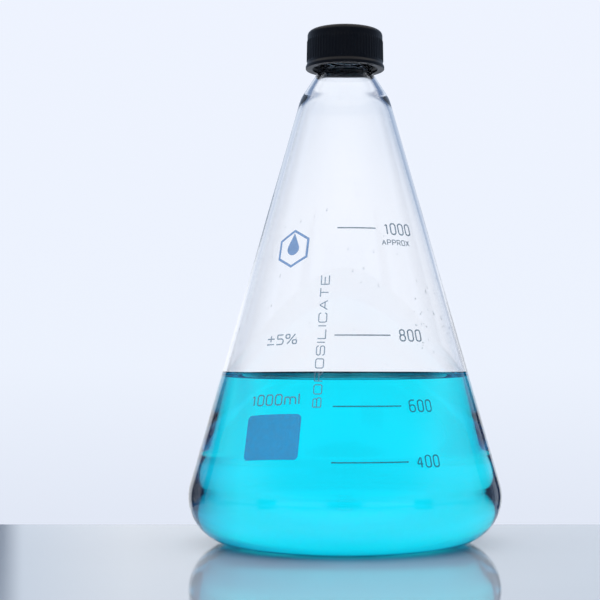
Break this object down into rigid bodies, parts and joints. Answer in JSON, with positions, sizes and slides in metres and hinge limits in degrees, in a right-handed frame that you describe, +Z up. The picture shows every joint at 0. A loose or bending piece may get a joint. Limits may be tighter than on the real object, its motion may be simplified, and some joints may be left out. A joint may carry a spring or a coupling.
{
  "type": "erlenmeyer flask",
  "caption": "Conical laboratory flask of clear glass with a screw neck, a ribbed black screw cap, a printed volume scale and blue liquid inside.",
  "frame": {"origin": "on the surface the flask stands on, under the flask's axis", "axes": "+Z up the flask's axis to the cap, -Y towards the printed scale, +X to the right of the scale seen from the front"},
  "size_m": [0.1284, 0.1284, 0.21],
  "materials": {
    "clear_glass": "polished",
    "blue_liquid": "gloss",
    "black_plastic": "satin",
    "liner_rubber": "matte",
    "liner_film": "satin",
    "fired_enamel": "satin",
    "marking_enamel": "satin"
  },
  "bodies": {
    "flask": {"flask_body": "clear_glass", "liquid": "blue_liquid", "graduation_line_400": "fired_enamel", "graduation_line_600": "fired_enamel", "graduation_line_800": "fired_enamel", "graduation_line_1000": "fired_enamel", "numeral_400": "fired_enamel", "numeral_600": "fired_enamel", "numeral_800": "fired_enamel", "numeral_1000": "fired_enamel", "approx_word": "fired_enamel", "capacity_mark": "fired_enamel", "tolerance_mark": "fired_enamel", "material_word": "fired_enamel", "marking_patch": "marking_enamel", "drop_emblem": "marking_enamel"},
    "liner": {"liner_backing": "liner_rubber", "liner_facing": "liner_film"},
    "cap": {"cap_shell": "black_plastic"}
  },
  "joints": [
    {"name": "cap_lift", "type": "slide", "parent": "flask", "child": "liner", "axis": [0, 0, 1], "range_m": [0, 0.02101]},
    {"name": "cap_turn", "type": "hinge", "parent": "liner", "child": "cap", "pos_m": [0, 0, 0.2], "axis": [0, 0, 1], "range_deg": [0, 2160]}
  ],
  "couplings": [
    {"joint": "cap_lift", "follows": "cap_turn", "m_per_rad": 0.00055704}
  ]
}
